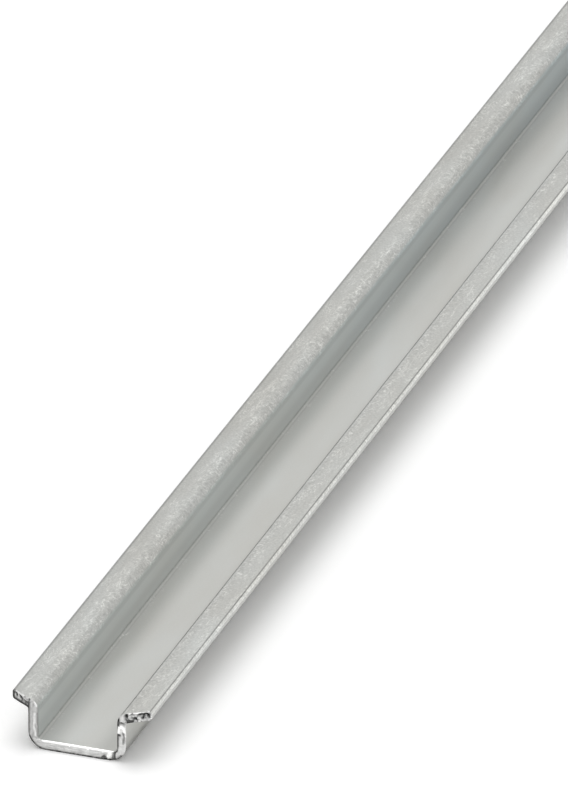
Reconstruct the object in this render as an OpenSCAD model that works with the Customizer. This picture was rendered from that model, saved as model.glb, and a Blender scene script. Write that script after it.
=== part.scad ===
// Top-hat mounting rail, 15 mm wide and 5.5 mm high, cold-rolled from one strip of 1 mm steel.
// It lies along X on the back of its channel. The origin is at the middle of that back face.

/* [Rail] */
// Length of the rail
rail_length = 1000; // [50:10:2000]
// Width over both flanges, the size that clip-on devices grip
rail_width = 15; // [14:0.1:20]
// Height from the back face to the top of the flanges
rail_height = 5.5; // [4.5:0.1:9]
// Outside width of the channel, over its two walls
channel_width = 10.5; // [8:0.1:11]
// Thickness of the strip that the rail is rolled from
sheet_thickness = 1; // [0.8:0.05:1.2]

/* [Bends] */
// Inside radius of the bend under a flange, tight so that a clip can hook behind it
flange_bend = 0.2; // [0.1:0.05:0.4]
// Inside radius of the bend between a wall and the back
back_bend_inner = 0.3; // [0.2:0.05:0.8]
// Outside radius of that bend, large because rolling draws the strip thin round the corner
back_bend_outer = 1.9; // [1.6:0.05:2.2]

/* [Edges and cut ends] */
// Radius on the slit edges of the strip, at the flange tips
slit_edge_radius = 0.25; // [0.05:0.05:0.35]
// How far the sheared end of a flange draws back from the wall to the tip
shear_setback = 1.5; // [0.1:0.1:3]

/* [Hidden] */
$fn = 64;

half_length = rail_length / 2;
half_width = rail_width / 2;
wall_outside = channel_width / 2;
wall_inside = wall_outside - sheet_thickness;
flange_bend_outer = flange_bend + sheet_thickness;
flange_underside = rail_height - sheet_thickness;
flange_reach = half_width - wall_outside;
// The shear's cutters run past the faces that they trim by this much
cutter_past = 1;

// Sliver between a square corner at the origin and the round that fits into it.
// Taken from an outside corner it rounds it off, added to an inside corner it fills it.
module corner_sliver(radius) {
    difference() {
        square(radius);
        translate([radius, radius])
            circle(radius);
    }
}

// Back, wall and flange of one half of the hat, all with square corners
module square_half() {
    square([wall_outside, sheet_thickness]);
    translate([wall_inside, 0])
        square([sheet_thickness, rail_height]);
    translate([wall_inside, flange_underside])
        square([half_width - wall_inside, sheet_thickness]);
}

// Material in the two inside corners of the strip's bends
module inside_bends() {
    translate([wall_inside, sheet_thickness])
        mirror([1, 0])
            corner_sliver(back_bend_inner);
    translate([wall_outside, flange_underside])
        mirror([0, 1])
            corner_sliver(flange_bend);
}

// Material missing from the two outside corners of the strip's bends
module outside_bends() {
    translate([wall_outside, 0])
        mirror([1, 0])
            corner_sliver(back_bend_outer);
    translate([wall_inside, rail_height])
        mirror([0, 1])
            corner_sliver(flange_bend_outer);
}

// Material missing from the two corners of the slit edge at the flange tip
module slit_edges() {
    translate([half_width, flange_underside])
        mirror([1, 0])
            corner_sliver(slit_edge_radius);
    translate([half_width, rail_height])
        rotate(180)
            corner_sliver(slit_edge_radius);
}

// One half of the rolled section, from its middle line to the flange tip
module half_section() {
    difference() {
        union() {
            square_half();
            inside_bends();
        }
        outside_bends();
        slit_edges();
    }
}

// Wedge that the shear takes off the end of a flange: nothing at the wall, the full setback at the tip
module shear_wedge(end, side) {
    linear_extrude(rail_height + cutter_past)
        polygon([
            [end * half_length, side * wall_outside],
            [end * (half_length + cutter_past), side * wall_outside],
            [end * (half_length + cutter_past), side * (half_width + flange_reach)],
            [end * (half_length - 2 * shear_setback), side * (half_width + flange_reach)]
        ]);
}

// Rolled section drawn out along X and sheared at both ends
module rail() {
    color([0.77, 0.78, 0.76])
        difference() {
            rotate([90, 0, 90])
                linear_extrude(rail_length, center = true) {
                    half_section();
                    mirror([1, 0])
                        half_section();
                }
            for (end = [-1, 1], side = [-1, 1])
                shear_wedge(end, side);
        }
}

rail();
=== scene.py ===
import bpy
import bmesh
import math
from mathutils import Matrix, Vector, noise


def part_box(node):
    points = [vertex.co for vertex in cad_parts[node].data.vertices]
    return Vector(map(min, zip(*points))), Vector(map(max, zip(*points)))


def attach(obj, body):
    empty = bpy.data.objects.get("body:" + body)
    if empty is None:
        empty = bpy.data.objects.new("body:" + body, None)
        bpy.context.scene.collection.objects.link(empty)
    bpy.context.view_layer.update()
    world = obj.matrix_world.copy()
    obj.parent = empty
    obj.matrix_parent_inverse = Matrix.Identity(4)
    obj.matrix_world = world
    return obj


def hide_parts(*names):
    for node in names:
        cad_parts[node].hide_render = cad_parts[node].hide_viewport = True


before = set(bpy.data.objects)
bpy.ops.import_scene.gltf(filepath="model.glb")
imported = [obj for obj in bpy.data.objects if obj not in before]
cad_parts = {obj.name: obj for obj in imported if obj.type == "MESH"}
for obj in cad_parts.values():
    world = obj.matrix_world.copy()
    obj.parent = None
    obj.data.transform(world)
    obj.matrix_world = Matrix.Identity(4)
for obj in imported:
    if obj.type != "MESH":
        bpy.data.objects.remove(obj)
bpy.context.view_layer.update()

# ---------------------------------------------------------------- rail
# A miniature top-hat rail, cold-rolled from one zinc-plated steel strip, 1 mm thick: a flat back,
# two upright walls and two outward flanges. Its bends are tight under the flanges and round at
# the back. It is cut to length by a shear, which leaves bare steel at both ends.

bpy.ops.object.select_all(action="DESELECT")
half_length, half_width, rail_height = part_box("rail")[1]
sheet = 0.001
wall_outside = 0.00525
wall_inside = wall_outside - sheet
flange_underside = rail_height - sheet
flange_reach = half_width - wall_outside
flange_bend = 0.0002
back_bend_inner = 0.0003
back_bend_outer = 0.0019
slit_edge_radius = 0.00025
# Places that are nearer than this count as the same.
HAIR = 2e-6

bpy.ops.mesh.primitive_cube_add(size=1, location=(0, 0, sheet / 2))
rail = bpy.context.object
rail.name = "rail_rolled"
rail.data.name = "rail_rolled"
rail.data.uv_layers[0].name = "OFBake"
bpy.ops.object.mode_set(mode="EDIT")
bpy.ops.transform.resize(value=(2 * half_length, 2 * wall_outside, sheet))
bpy.ops.object.mode_set(mode="OBJECT")
bpy.ops.object.transform_apply(location=True, rotation=True, scale=True)
bpy.ops.object.mode_set(mode="EDIT")


def pick(kind, test):
    """Selects the rail's faces or edges for which the test holds. It is given the middle of each
    one and its points, in metres."""
    modes = ("verts", "edges", "faces")
    bpy.context.tool_settings.mesh_select_mode = tuple(kind == mode for mode in modes)
    bpy.ops.mesh.select_all(action="DESELECT")
    shape = bmesh.from_edit_mesh(rail.data)
    for item in getattr(shape, kind):
        points = [v.co for v in item.verts]
        middle = sum(points, Vector()) / len(points)
        if test(middle, points):
            item.select_set(True)
    shape.select_flush_mode()
    bmesh.update_edit_mesh(rail.data)


def near(a, b):
    return abs(a - b) < HAIR


# The back is split lengthwise where the walls rise, and the strips over them are drawn up.
for side in (-1, 1):
    bpy.ops.mesh.select_all(action="SELECT")
    bpy.ops.mesh.bisect(plane_co=(0, side * wall_inside, 0), plane_no=(0, 1, 0))
for top, lift in ((sheet, flange_underside - sheet), (flange_underside, sheet)):
    pick("faces", lambda at, points: all(near(p.z, top) for p in points)
         and abs(at.y) > wall_inside)
    bpy.ops.mesh.extrude_region_move(TRANSFORM_OT_translate={"value": (0, 0, lift)})
# The flanges are drawn outwards from the last millimetre of each wall.
for side in (-1, 1):
    pick("faces", lambda at, points: all(near(p.y, side * wall_outside) for p in points)
         and at.z > flange_underside)
    bpy.ops.mesh.extrude_region_move(
        TRANSFORM_OT_translate={"value": (0, side * flange_reach, 0)})
bpy.ops.mesh.select_all(action="SELECT")
bpy.ops.mesh.remove_doubles(threshold=1e-7)
bpy.ops.mesh.dissolve_limited(angle_limit=0.01)

# The lengthwise corners are rounded: bends inside and outside, then the slit edges of the strip.
for y, z, radius, steps in (
        (wall_outside, 0, back_bend_outer, 14),
        (wall_inside, sheet, back_bend_inner, 5),
        (wall_outside, flange_underside, flange_bend, 5),
        (wall_inside, rail_height, flange_bend + sheet, 12),
        (half_width, flange_underside, slit_edge_radius, 5),
        (half_width, rail_height, slit_edge_radius, 5)):
    pick("edges", lambda at, points: near(at.x, 0) and near(abs(at.y), y) and near(at.z, z))
    bpy.ops.mesh.bevel(offset=radius, segments=steps, profile=0.5, affect="EDGES",
                       clamp_overlap=False)

# The shear draws the flange ends back towards their tips. It rolls the edge of the cut over on
# the open side of the section, where the blade goes in, and leaves the outer edge sharp.
shear_setback = 0.0015
rollover = 0.00018
# How far the faces of a cut reach in from it, with the rolled-over edge.
cut_depth = 0.0002


def past_wall(point):
    """How far out along a flange a point is: 0 up to its wall, 1 at its tip."""
    return max(abs(point.y) - wall_outside, 0) / flange_reach


def cut_place(point):
    """Where the cut lies at a point, along the rail, before it is torn."""
    return math.copysign(half_length - past_wall(point) * shear_setback, point.x)


def on_cut(point):
    return near(point.x, cut_place(point))


def cut_face(points):
    """Whether a face belongs to a cut, with its rolled-over edge."""
    return all(abs(p.x) > abs(cut_place(p)) - cut_depth for p in points)


def open_side(point):
    return (point.z > sheet - HAIR and abs(point.y) < wall_inside + HAIR
            or near(point.z, rail_height))


def bend_top(point):
    """On the outside of the bend between a wall and its flange."""
    radius = flange_bend + sheet
    away = math.hypot(abs(point.y) - wall_inside - radius, point.z - rail_height + radius)
    return abs(away - radius) < HAIR and abs(point.y) < wall_inside + radius + HAIR


for side in (-1, 1):
    bpy.ops.mesh.select_all(action="SELECT")
    bpy.ops.mesh.bisect(plane_co=(0, side * wall_outside, 0), plane_no=(0, 1, 0))
shape = bmesh.from_edit_mesh(rail.data)
for point in shape.verts:
    point.co.x -= math.copysign(past_wall(point.co) * shear_setback, point.co.x)
bmesh.update_edit_mesh(rail.data)
# Cross cuts divide the long faces, the more closely the nearer they are to an end.
for end in (-1, 1):
    for depth in (0.002, 0.003, 0.005, 0.01, 0.02, 0.05, 0.1, 0.2, 0.3, 0.4):
        bpy.ops.mesh.select_all(action="SELECT")
        bpy.ops.mesh.bisect(plane_co=(end * (half_length - depth), 0, 0), plane_no=(1, 0, 0))
pick("edges", lambda at, points: all(on_cut(p) for p in points)
     and all(open_side(p) or bend_top(p) for p in points))
bpy.ops.mesh.bevel(offset=rollover, segments=3, profile=0.5, affect="EDGES",
                   clamp_overlap=False)
# Both cut faces are trued up, and get a fine grid, so that their steel can be torn and pitted.
square_mm = 1e-6
shape = bmesh.from_edit_mesh(rail.data)
for face in shape.faces:
    if abs(face.normal.x) > 0.7 and face.calc_area() > square_mm:
        for point in face.verts:
            point.co.x = cut_place(point.co)
bmesh.update_edit_mesh(rail.data)
grid = 0.00012
for normal, first, last in (((0, 1, 0), -half_width, half_width), ((0, 0, 1), 0, rail_height)):
    for step in range(math.ceil(first / grid), math.floor(last / grid) + 1):
        pick("faces", lambda at, points: cut_face(points))
        bpy.ops.mesh.bisect(plane_co=[step * grid * part for part in normal], plane_no=normal)

# Where the blade tore each cut, seen from the near end: points along it as y and z, its half
# width and its depth in millimetres, and how much it darkens the steel. Below 0 is burnished
# and painted bright, as a painted highlight.
tears = (
    (((-4.36, 4.80), (-4.36, 4.45), (-4.34, 4.10)), 0.17, 0.0, 0.97),
    (((-4.34, 4.15), (-4.50, 4.40)), 0.07, 0.0, 0.90),
    (((-4.34, 4.10), (-4.30, 3.60)), 0.10, 0.0, 0.95),
    (((-4.28, 3.72), (-4.34, 3.34), (-4.54, 3.02)), 0.13, 0.0, 0.97),
    (((-4.34, 2.95), (-4.34, 1.80), (-4.22, 1.20)), 0.10, 0.0, 0.92),
    (((-4.14, 1.25), (-4.02, 0.90)), 0.10, 0.0, 0.90),
    (((-4.55, 4.42), (-4.95, 4.30), (-5.22, 4.55)), 0.08, 0.20, 0.60),
    (((-4.40, 3.30), (-4.50, 3.85), (-4.75, 4.00), (-5.02, 3.80), (-5.16, 3.00)),
     0.10, 0.0, -0.45),
    (((-4.92, 3.30), (-5.02, 2.90), (-4.92, 2.10)), 0.07, 0.05, 0.75),
    (((-5.24, 5.28), (-5.20, 5.18)), 0.15, 0.25, 0.97),
    (((-5.10, 4.95), (-5.40, 4.72), (-5.85, 4.60)), 0.07, 0.15, 0.85),
    (((-5.90, 4.90), (-6.05, 4.92)), 0.09, 0.20, 0.95),
    (((-5.55, 5.32), (-6.15, 5.32)), 0.04, 0.10, 0.50),
    (((-6.35, 5.30), (-6.60, 5.32)), 0.07, 0.20, 0.85),
    (((-6.72, 4.84), (-6.78, 5.26), (-7.05, 5.32), (-7.22, 5.09), (-7.20, 4.80)),
     0.08, 0.20, 0.97),
    (((-7.44, 5.20), (-7.46, 4.70)), 0.06, 0.0, -0.30),
    (((-2.70, 0.18), (-2.90, 0.36), (-3.05, 0.20)), 0.11, 0.10, 0.85),
    (((-3.10, 0.10), (-3.60, 0.10)), 0.07, 0.05, 0.97),
    (((-3.30, 0.35), (-3.55, 0.80)), 0.14, 0.0, -0.40),
    (((-3.95, 0.80), (-3.92, 0.35), (-3.85, 0.10)), 0.10, 0.20, 0.80),
    (((6.95, 5.28), (6.88, 5.05)), 0.10, 0.20, 0.95),
    (((6.45, 5.24), (6.25, 5.18), (6.10, 4.98)), 0.09, 0.15, 0.92),
    (((5.85, 5.02), (5.35, 4.95)), 0.08, 0.15, 0.85),
    (((7.38, 5.30), (7.38, 4.72)), 0.15, 0.05, 0.97),
    (((4.29, 4.00), (4.28, 2.60), (4.27, 1.35)), 0.05, 0.0, 0.55),
    (((4.56, 3.90), (4.62, 2.40), (4.50, 1.50)), 0.07, 0.0, -0.10),
    (((4.30, 4.75), (4.60, 5.25)), 0.09, 0.0, -0.30))
# Millimetres in a metre.
MM = 1000.0
# Where the flanges' cuts begin, and how high the back's cut reaches, in millimetres.
flange_from, back_below = 5.3, 1.1
burnish_and_highlight, darkest = -0.4, 0.98


def near_line(y, z, points):
    """How far a place on the cut is from a line through the points, in millimetres."""
    place = Vector((y, z))
    found = []
    for start, stop in zip(points, points[1:]):
        start, run = Vector(start), Vector(stop) - Vector(start)
        along = min(max((place - start).dot(run) / run.length_squared, 0), 1)
        found.append((place - start - along * run).length)
    return min(found)


def outer_depth(y, z):
    """How deep a place on the cut is under the outer side of the section, in millimetres."""
    if abs(y) > wall_outside * MM:
        return min(z - flange_underside * MM, half_width * MM - abs(y))
    radius = back_bend_outer * MM
    return radius - math.hypot(max(abs(y) - wall_outside * MM + radius, 0), max(radius - z, 0))


def unevenness(size, y, z, seed, octaves):
    return noise.fractal(Vector((y * size, z * size, seed)), 1.0, 2.0, octaves)


def streaks(across, up, seed):
    return noise.noise(Vector((across, up, seed)))


shape = bmesh.from_edit_mesh(rail.data)
for face in shape.faces:
    face.material_index = int(cut_face([point.co for point in face.verts]))
stain = shape.verts.layers.float.new("torn")
for point in shape.verts:
    if abs(point.co.x) < half_length - shear_setback - 2 * cut_depth:
        continue
    end = math.copysign(1, point.co.x)
    y, z = -end * point.co.y * MM, point.co.z * MM
    rough = unevenness(3, y, z, end * 9, 3)
    # The broken steel is grey and a little hollow. Along a rim under its outer side it is painted
    # dark, as painted shade.
    dark, back, rim = 0.16 + 0.15 * rough, 0.03 + 0.03 * rough, 0.20
    if abs(y) > flange_from:
        # The flanges broke in pits.
        dark, rim = 0.35 + 1.3 * max(unevenness(6, y, z, end * 5, 2), -0.2), 0.40
    elif z < back_below:
        # The back and one wall are streaked along the strip.
        dark = 0.22 + 0.30 * streaks(y * 1.5, z * 9, end * 4)
    elif y > 0:
        dark = 0.38 + 0.3 * streaks(y * 9, z * 1.5, end * 4)
    edge = outer_depth(y, z) + 0.06 * rough
    # One flange's outer half and the wall under it have no dark rim.
    if y < -5.9 or -flange_from < y < -3.9 and z > 0.8:
        edge = rim
    if edge < rim:
        dark = max(dark, 1.6 - 1.3 * max(edge, 0) / rim)
    elif edge > 0.85 and z < 1.2 and abs(y) < 4:
        # The blade burnished the inner edge of the back, and it is painted bright there, as a
        # painted highlight.
        dark = burnish_and_highlight
    for points, half, depth, darkness in tears:
        away = near_line(y, z, points) + 0.04 * rough
        inside = min(max(1.8 - away / half, 0), 1)
        dark = dark + inside * (darkness - dark)
        back += inside * depth
    point[stain] = min(dark, darkest)
    point.co.x -= end * max(back, 0) / MM
bmesh.update_edit_mesh(rail.data)
bpy.ops.mesh.select_all(action="SELECT")
bpy.ops.mesh.dissolve_degenerate(threshold=HAIR)

# The surface is unfolded as five lengths and two cut faces, for its baked finish.
for end in (-1, 1):
    for depth in (0.2, 0.4):
        seam = end * (half_length - depth)
        pick("edges", lambda at, points: all(near(p.x, seam) for p in points))
        bpy.ops.mesh.mark_seam(clear=False)
corner = back_bend_outer - wall_outside
pick("edges", lambda at, points: all(near(p.y, corner) and near(p.z, 0) for p in points))
bpy.ops.mesh.mark_seam(clear=False)
bpy.context.tool_settings.mesh_select_mode = (False, False, True)
bpy.ops.mesh.select_all(action="DESELECT")
shape = bmesh.from_edit_mesh(rail.data)
for face in shape.faces:
    face.select_set(face.material_index == 1)
bpy.ops.mesh.region_to_loop()
bpy.ops.mesh.mark_seam(clear=False)
bpy.ops.mesh.mark_sharp()
bpy.ops.mesh.select_all(action="SELECT")
bpy.ops.uv.unwrap(method="CONFORMAL", margin=0.002)
bpy.ops.uv.select_all(action="SELECT")
bpy.ops.uv.average_islands_scale()
bpy.ops.uv.pack_islands(rotate=True, margin=0.004)
bpy.ops.object.mode_set(mode="OBJECT")
bpy.ops.object.shade_smooth_by_angle(angle=math.radians(35))

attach(rail, "root")
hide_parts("rail")


class Wire:
    """An output in a shader. Sums on it add Math nodes, and node() adds any other kind."""

    def __init__(self, tree, socket=None):
        self.tree, self.socket = tree, socket

    def node(self, kind, settings=None, values=None, out=0):
        made = self.tree.nodes.new(kind)
        for name, value in (settings or {}).items():
            setattr(made, name, value)
        for name, value in (values or {}).items():
            if isinstance(value, Wire):
                self.tree.links.new(value.socket, made.inputs[name])
            else:
                made.inputs[name].default_value = value
        return Wire(self.tree, made.outputs[out] if made.outputs else None)

    def maths(self, operation, *parts):
        return self.node("ShaderNodeMath", {"operation": operation}, dict(enumerate(parts)))

    def __add__(self, other): return self.maths("ADD", self, other)
    def __radd__(self, other): return self.maths("ADD", other, self)
    def __sub__(self, other): return self.maths("SUBTRACT", self, other)
    def __rsub__(self, other): return self.maths("SUBTRACT", other, self)
    def __mul__(self, other): return self.maths("MULTIPLY", self, other)
    def __rmul__(self, other): return self.maths("MULTIPLY", other, self)
    def __abs__(self): return self.maths("ABSOLUTE", self)

    def at_least(self, other): return self.maths("MAXIMUM", self, other)
    def at_most(self, other): return self.maths("MINIMUM", self, other)

    def ramp(self, start, stop):
        """0 at start, 1 at stop and beyond, smooth between them."""
        return self.node("ShaderNodeMapRange", {"interpolation_type": "SMOOTHSTEP"},
                         {"Value": self, "From Min": start, "From Max": stop,
                          "To Min": 0.0, "To Max": 1.0})


def blank(name):
    """A new material with nothing in it, a start for its nodes, and the place on the rail in
    millimetres."""
    material = bpy.data.materials.new(name)
    material.use_nodes = True
    material.node_tree.nodes.clear()
    wire = Wire(material.node_tree)
    # Output 3 is the Object coordinate.
    place = wire.node("ShaderNodeTexCoord", out=3)
    mm = wire.node("ShaderNodeVectorMath", {"operation": "SCALE"}, {0: place, "Scale": MM})
    return material, wire, mm


def mottle(vector, scale, detail=3.0, rough=0.5, twist=0.0):
    return vector.node("ShaderNodeTexNoise", None,
                       {"Vector": vector, "Scale": scale, "Detail": detail, "Roughness": rough,
                        "Distortion": twist})


# The zinc is thin and dull, a light neutral grey that reflects like a satin metal. On the rolled
# bends it is burnished to bright specks. Heights and widths here are in millimetres.
zinc, wire, mm = blank("zinc_plating")
zinc_tone, zinc_roughness = 0.505, 0.36
x, y, z = (wire.node("ShaderNodeSeparateXYZ", None, {"Vector": mm}, axis) for axis in range(3))
out = abs(y)
# Some of its patterns are drawn out along the rail.
drawn = wire.node("ShaderNodeMapping", None, {"Vector": mm, "Scale": (0.25, 1.0, 1.0)})
cloud = mottle(drawn, 0.22, rough=0.55, twist=0.4)
patch = mottle(drawn, 0.7, rough=0.6, twist=1.0)
grain = mottle(mm, 4.0, rough=0.7)
fleck = mottle(mm, 1.3, rough=0.6, twist=2.0)
curl = mottle(drawn, 1.1, detail=2.0, rough=0.6, twist=3.0)

# The rolls press the flanges and bends into a fine crazing, with curly burnished strokes.
# The channel between them stays smoother.
wavy = z + (patch - 0.5) * 1.6
pressed = wavy.ramp(4.3, 4.9)
strokes = (1 - abs(curl - 0.5).ramp(0.0, 0.05)) * patch.ramp(0.46, 0.6) * pressed
bend = (1 - out.ramp(5.4, 6.2)) * pressed
# Painted light: the insides of the walls are painted lighter, by an amount that changes with
# height, and a band where each wall turns into its flange bend, on the channel's side, is painted
# brighter. The flange tops are painted a little darker, as painted shade.
bend_painted_light = z.ramp(4.45, 4.7) * (1 - z.ramp(4.8, 5.0)) * (1 - out.ramp(5.1, 5.2))
wall = (1 - out.ramp(4.4, 5.2)) * z.ramp(1.12, 1.38) * (1 - z.ramp(4.6, 5.0))
wall_painted_light = (0.30 - z.ramp(1.4, 2.2) * 0.06 + z.ramp(2.4, 3.2) * 0.04
             - z.ramp(3.8, 4.2) * 0.08)
tone = zinc_tone - z.ramp(4.7, 5.3) * 0.06 + wall * wall_painted_light + bend_painted_light * 0.10

# Painted shade darkens the back near the foot of the walls, and more in the corner where each wall
# meets it. Further along the rail, the back on one side and the foot of that wall are darker too.
shade_near_walls = out.ramp(1.0, 3.2) * (1 - z.ramp(1.0, 1.2))
corner = out.ramp(3.85, 3.98) * (1 - z.ramp(1.15, 1.4)) * z.ramp(0.9, 1.0)
beyond = x.ramp(-440.0, -350.0)
along = beyond * y.ramp(-1.0, 1.5) * z.ramp(0.9, 1.0) * (1 - z.ramp(1.2, 2.6))
foot = out.ramp(3.5, 3.7) * (1 - out.ramp(4.2, 4.3)) * z.ramp(0.9, 1.0) * (1 - z.ramp(1.6, 1.9))
tone = tone * (1 - shade_near_walls * 0.18) * (1 - corner * (0.14 - z.ramp(1.02, 1.12) * 0.08))
tone = tone * (1 - along * 0.13) + foot * (fleck - 0.60).at_least(0.0) * 1.2

tone = tone + (cloud - 0.5) * 0.07 + (grain - 0.5) * (0.06 + 0.27 * pressed)
tone = tone + bend * (fleck - 0.5) * 0.36 + strokes * 0.15
tone = tone + (fleck - 0.58).at_least(0.0) * pressed * (0.4 + bend * 0.5)
# Painted shade: a thin dark line along one flange bend, on the channel's side, with a painted
# highlight beside it. The outer part of the other flange's top is a little darker.
bend_shade_line = y.ramp(-4.85, -4.60) * (1 - y.ramp(-0.5, 0.5)) * z.ramp(4.25, 4.4)
bend_highlight_line = y.ramp(-5.15, -4.95) * (1 - y.ramp(-4.82, -4.70)) * z.ramp(4.6, 4.9)
tip = y.ramp(6.1, 6.5) * z.ramp(5.0, 5.2)
tone = tone * (1 - bend_shade_line * 0.52) + bend_highlight_line * 0.07 - tip * 0.025
# One slit edge of the strip is painted bright, as a painted highlight that grows further along,
# with a painted dark line beside it. The other is painted darker, as painted shade.
slit_edge_highlight = (1 - y.ramp(-7.42, -7.36)) * z.ramp(5.00, 5.15)
line = y.ramp(-7.41, -7.35) * (1 - y.ramp(-7.28, -7.20)) * z.ramp(5.2, 5.3)
slit_edge_shade = y.ramp(7.05, 7.25)
tone = tone * (1 - line * (0.36 + 0.5 * (patch - 0.4))) * (1 - slit_edge_shade * 0.35)
tone = tone + slit_edge_highlight * (0.18 + beyond * 0.12 + (fleck - 0.5) * 0.7)
# The outside of the walls is painted darker near the ground, as painted shade, and lighter higher
# up, as painted light.
outside = out.ramp(5.0, 5.1) * (1 - z.ramp(4.3, 4.5))
tone = tone * (1 - outside * (0.30 - 0.45 * z.ramp(1.2, 2.4)))

# The insides of the walls are a little cooler than the rest.
cool = z.ramp(1.05, 1.3) * (1 - out.ramp(4.4, 5.2)) * (1 - z.ramp(4.6, 5.0))
cool = cool * (0.030 + beyond * 0.022) + (cloud - 0.5) * 0.05
colour = wire.node("ShaderNodeCombineColor", None,
                   {0: tone * (1 - cool), 1: tone * 1.005, 2: tone * (0.962 + cool)})
height = grain * (0.25 + 0.75 * pressed) + strokes * 0.5 + fleck * pressed * 0.4
bump = wire.node("ShaderNodeBump", None, {"Strength": 0.3, "Distance": 0.00003, "Height": height})
satin = zinc_roughness + (cloud - 0.5) * 0.12 + (grain - 0.5) * 0.1
skin = wire.node("ShaderNodeBsdfPrincipled", None,
                 {"Base Color": colour, "Metallic": 1.0, "Roughness": satin, "Normal": bump})
wire.node("ShaderNodeOutputMaterial", None, {"Surface": skin})
rail.data.materials.append(zinc)

# The cut faces are bare steel: grey where it broke, burnished and painted bright as a painted
# highlight where the blade burnished it, and dark in the tears. Along the outer edge they are
# painted dark, as painted shade.
bare, wire, mm = blank("sheared_steel")
steel_tone, steel_roughness = 0.76, 0.35
# Output 2 is the attribute as a single number.
torn = wire.node("ShaderNodeAttribute", {"attribute_name": "torn"}, out=2)
grit = mottle(mm, 6.0, rough=0.65, twist=0.8)
tone = ((steel_tone + (grit - 0.5) * 0.35) * (1 - torn)).at_least(0.02).at_most(0.97)
colour = wire.node("ShaderNodeCombineColor", None, {0: tone, 1: tone, 2: tone * 0.985})
bump = wire.node("ShaderNodeBump", None, {"Strength": 0.5, "Distance": 0.00006, "Height": grit})
skin = wire.node("ShaderNodeBsdfPrincipled", None,
                 {"Base Color": colour, "Metallic": 1.0, "Roughness": steel_roughness,
                  "Normal": bump})
wire.node("ShaderNodeOutputMaterial", None, {"Surface": skin})
rail.data.materials.append(bare)

# ---------------------------------------------------------------- floor
# A plain pale table top, which the rail lies on with its back down. It is painted a matt white,
# and reaches so far out that its edge is out of sight from above.
floor_size = 80
bpy.ops.object.select_all(action="DESELECT")
bpy.ops.mesh.primitive_plane_add(size=floor_size, location=(0, 0, 0))
floor = bpy.context.object
floor.name = "floor"


def shown(wire):
    """1 where the studio is seen, straight or in a shiny or clear thing, and 0 where it lights."""
    # Outputs 0, 3 and 6 are Is Camera Ray, Is Glossy Ray and Is Transmission Ray.
    straight, mirrored, through = (wire.node("ShaderNodeLightPath", out=ray) for ray in (0, 3, 6))
    return straight.at_least(mirrored.at_least(through))


paint, seen_lift = 0.93, 0.25
pale = bpy.data.materials.new("pale_floor")
pale.use_nodes = True
pale.node_tree.nodes.clear()
top = Wire(pale.node_tree)
shade = paint + shown(top) * seen_lift
white = top.node("ShaderNodeCombineColor", None, {0: shade, 1: shade, 2: shade})
matt = top.node("ShaderNodeBsdfDiffuse", None, {"Color": white})
top.node("ShaderNodeOutputMaterial", None, {"Surface": matt})
floor.data.materials.append(pale)

# ---------------------------------------------------------------- light
# A white studio all round, and one large square softbox. It hangs high over the near end, a
# little towards the far end and the side of the left flange.
air_level = 0.65
softbox_side = 8.0
softbox_watts = 352
softbox_target = Vector((-0.42, 0, 0))
softbox_place = softbox_target + Vector((2.8, 1.2, 9.2))

world = bpy.data.worlds.new("studio")
bpy.context.scene.world = world
world.use_nodes = True
world.node_tree.nodes.clear()
air = Wire(world.node_tree)
level = air_level + (1 - air_level) * shown(air)
sky = air.node("ShaderNodeBackground", None, {"Color": (1, 1, 1, 1), "Strength": level})
air.node("ShaderNodeOutputWorld", None, {"Surface": sky})

lamp_data = bpy.data.lights.new("softbox", "AREA")
lamp_data.shape = "RECTANGLE"
lamp_data.size = softbox_side
lamp_data.size_y = softbox_side
lamp_data.energy = softbox_watts
softbox = bpy.data.objects.new("softbox", lamp_data)
bpy.context.scene.collection.objects.link(softbox)
softbox.location = softbox_place
softbox.rotation_euler = (softbox_place - softbox_target).to_track_quat("Z", "Y").to_euler()

# ---------------------------------------------------------------- camera
# A very long lens, about 1.9 m from the near end. It looks down along the rail from that end,
# from over the right flange.
camera_place = (-2.100106, -0.586156, 0.879921)
back = Vector((-0.8460844, -0.2982631, 0.4417922)).normalized()
right = Vector((0.3333620, -0.9427970, 0.0019259))
up = back.cross(right).normalized()
right = up.cross(back)

camera_data = bpy.data.cameras.new("camera")
camera_data.lens = 867.87
camera_data.sensor_width = 36
camera_data.clip_end = 20
camera = bpy.data.objects.new("camera", camera_data)
bpy.context.scene.collection.objects.link(camera)
bpy.context.scene.camera = camera
rows = [(right[axis], up[axis], back[axis], camera_place[axis]) for axis in range(3)]
camera.matrix_world = Matrix(rows + [(0, 0, 0, 1)])

bpy.context.scene.view_settings.view_transform = "Standard"
